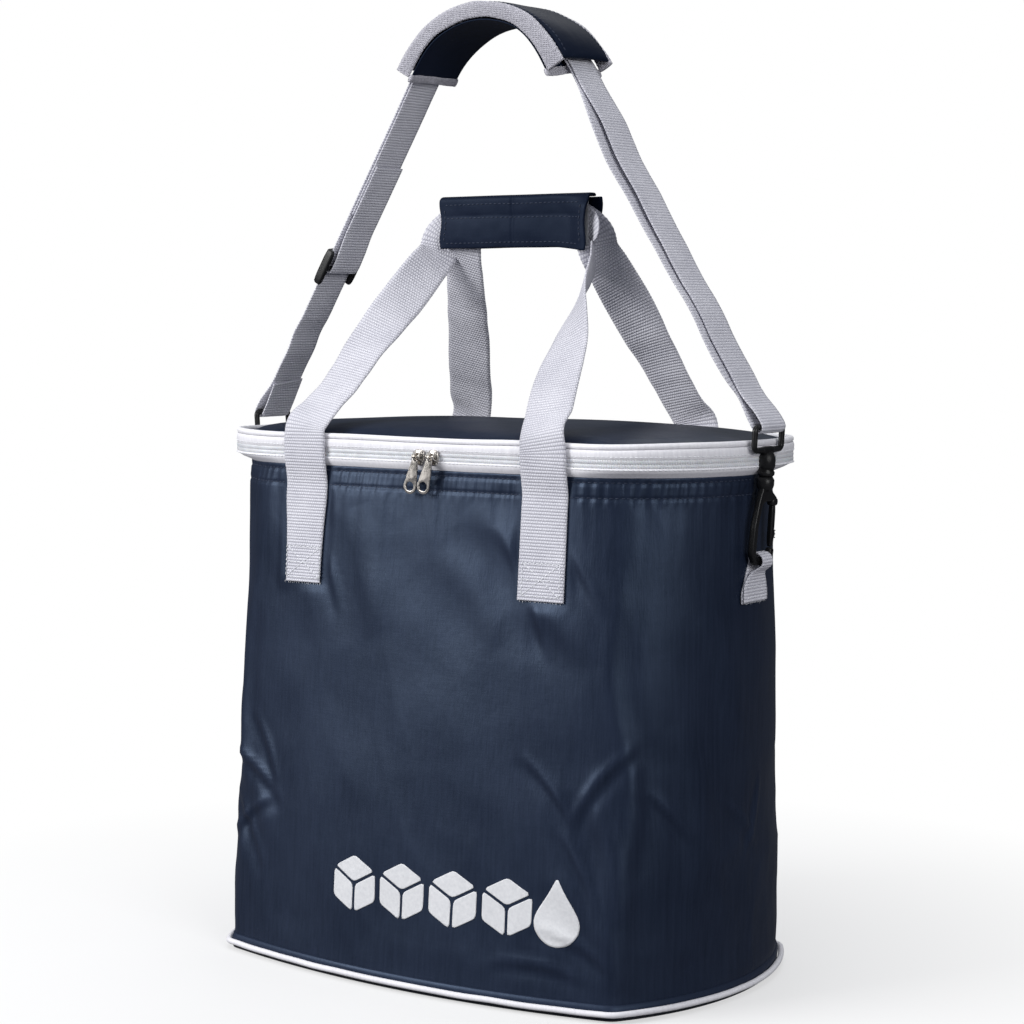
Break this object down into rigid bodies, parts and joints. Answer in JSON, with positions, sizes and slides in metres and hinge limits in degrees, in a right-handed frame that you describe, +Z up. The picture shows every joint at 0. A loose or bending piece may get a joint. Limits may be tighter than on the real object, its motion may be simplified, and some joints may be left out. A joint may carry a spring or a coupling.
{
  "type": "insulated cooler bag",
  "caption": "Soft insulated cooler bag with a zipped lid, webbing handles joined by a wrap grip, and a clip-on padded shoulder strap.",
  "frame": {"origin": "middle of the base's underside, on the floor", "axes": "+Z up, -Y the front with the zip pulls, +X the bag's right-hand end"},
  "size_m": [0.4372, 0.2644, 0.6689],
  "materials": {
    "navy_cloth": "satin coated woven polyester",
    "base_cloth": "dull coated woven polyester",
    "white_tape": "matt woven tape",
    "webbing": "ribbed polypropylene webbing",
    "grey_lining": "spacer mesh",
    "touch_tape": "hook and loop tape",
    "foam": "closed-cell foam sheet",
    "foil": "metallised film",
    "zip_coil": "moulded nylon coil",
    "nickel": "polished nickel plate",
    "black_plastic": "moulded acetal"
  },
  "bodies": {
    "bag": {"outer_shell": "navy_cloth", "wall_foam": "foam", "liner": "foil", "base_foam": "foam", "base_panel": "base_cloth", "base_piping": "white_tape", "rim_binding": "white_tape", "zip_tape_lower": "white_tape", "zip_coil_lower": "zip_coil", "hinge_strip": "navy_cloth", "front_tab_left": "webbing", "front_tab_right": "webbing", "back_tab_left": "webbing", "back_tab_right": "webbing", "side_tab_left": "webbing", "side_tab_right": "webbing"},
    "lid": {"lid_panel": "navy_cloth", "lid_foam": "foam", "lid_liner": "foil", "lid_piping": "white_tape", "zip_coil_upper": "zip_coil", "zip_tape_upper": "white_tape", "lid_back_band": "white_tape"},
    "slider_left": {"slider_left": "nickel"},
    "slider_right": {"slider_right": "nickel"},
    "pull_left": {"pull_left": "nickel"},
    "pull_right": {"pull_right": "nickel"},
    "front_handle": {"front_handle": "webbing", "grip_cover": "navy_cloth", "grip_lining": "grey_lining", "grip_loop_strip": "touch_tape"},
    "grip_flap": {"grip_flap": "navy_cloth", "grip_hook_strip": "touch_tape"},
    "back_handle": {"back_handle": "webbing"},
    "shoulder_strap": {"strap_webbing": "webbing", "hook_eye_left": "black_plastic", "hook_eye_right": "black_plastic"},
    "adjuster": {"adjuster": "black_plastic", "strap_tail": "webbing"},
    "hook_left": {"hook_left": "black_plastic"},
    "hook_right": {"hook_right": "black_plastic"},
    "gate_left": {"gate_left": "black_plastic"},
    "gate_right": {"gate_right": "black_plastic"},
    "shoulder_pad": {"pad_cover": "navy_cloth", "pad_foam": "foam", "pad_lining": "grey_lining", "pad_binding_front": "white_tape", "pad_binding_back": "white_tape"}
  },
  "joints": [
    {"name": "lid_open", "type": "hinge", "parent": "bag", "child": "lid", "pos_m": [0, 0.094, 0.359], "axis": [-1, 0, 0], "range_deg": [0, 105]},
    {"name": "front_handle_fold", "type": "hinge", "parent": "bag", "child": "front_handle", "pos_m": [0, -0.095, 0.346], "axis": [1, 0, 0], "range_deg": [0, 155]},
    {"name": "back_handle_fold", "type": "hinge", "parent": "bag", "child": "back_handle", "pos_m": [0, 0.095, 0.346], "axis": [-1, 0, 0], "range_deg": [0, 155]},
    {"name": "grip_flap_open", "type": "hinge", "parent": "front_handle", "child": "grip_flap", "pos_m": [0, 0.02245, 0.5357], "axis": [1, 0, 0], "range_deg": [0, 110], "deforming": ["grip_flap", "grip_hook_strip"]},
    {"name": "strap_swing", "type": "hinge", "parent": "bag", "child": "shoulder_strap", "pos_m": [0, 0, 0.296], "axis": [1, 0, 0], "range_deg": [0, 122], "deforming": ["strap_webbing", "side_tab_left", "side_tab_right"]},
    {"name": "slider_left_travel", "type": "slide", "parent": "bag", "child": "slider_left", "axis": [-1, 0, 0], "range_m": [0, 0.07]},
    {"name": "slider_right_travel", "type": "slide", "parent": "bag", "child": "slider_right", "axis": [1, 0, 0], "range_m": [0, 0.058]},
    {"name": "pull_left_swing", "type": "hinge", "parent": "slider_left", "child": "pull_left", "pos_m": [-0.001, -0.0993, 0.359], "axis": [-1, 0, 0], "range_deg": [0, 165]},
    {"name": "pull_right_swing", "type": "hinge", "parent": "slider_right", "child": "pull_right", "pos_m": [0.011, -0.0993, 0.359], "axis": [-1, 0, 0], "range_deg": [0, 165]},
    {"name": "adjuster_slide", "type": "slide", "parent": "shoulder_strap", "child": "adjuster", "axis": [0.5206, 0, 0.8538], "range_m": [-0.028, 0.028]},
    {"name": "hook_left_swivel", "type": "hinge", "parent": "shoulder_strap", "child": "hook_left", "pos_m": [-0.2085, 0, 0.296], "axis": [-0.0663, 0, 0.9978], "range_deg": [-12, 12]},
    {"name": "hook_right_swivel", "type": "hinge", "parent": "shoulder_strap", "child": "hook_right", "pos_m": [0.2085, 0, 0.296], "axis": [0.0663, 0, 0.9978], "range_deg": [-12, 12]},
    {"name": "gate_left_open", "type": "hinge", "parent": "hook_left", "child": "gate_left", "pos_m": [-0.21075, 0.0115, 0.32993], "axis": [-0.9978, 0, -0.0663], "range_deg": [0, 22], "stiffness_Nm_per_rad": 0.05},
    {"name": "gate_right_open", "type": "hinge", "parent": "hook_right", "child": "gate_right", "pos_m": [0.21075, 0.0115, 0.32993], "axis": [-0.9978, 0, 0.0663], "range_deg": [0, 22], "stiffness_Nm_per_rad": 0.05},
    {"name": "pad_slide", "type": "hinge", "parent": "shoulder_strap", "child": "shoulder_pad", "pos_m": [0, 0, 0.585], "axis": [0, 1, 0], "range_deg": [-5, 5]}
  ],
  "couplings": [
    {"joint": "front_handle_fold", "follows": "lid_open", "ratio": 1.45},
    {"joint": "back_handle_fold", "follows": "lid_open", "ratio": 1.45},
    {"joint": "strap_swing", "follows": "lid_open", "ratio": 1.15},
    {"joint": "grip_flap_open", "follows": "lid_open", "ratio": 1}
  ]
}
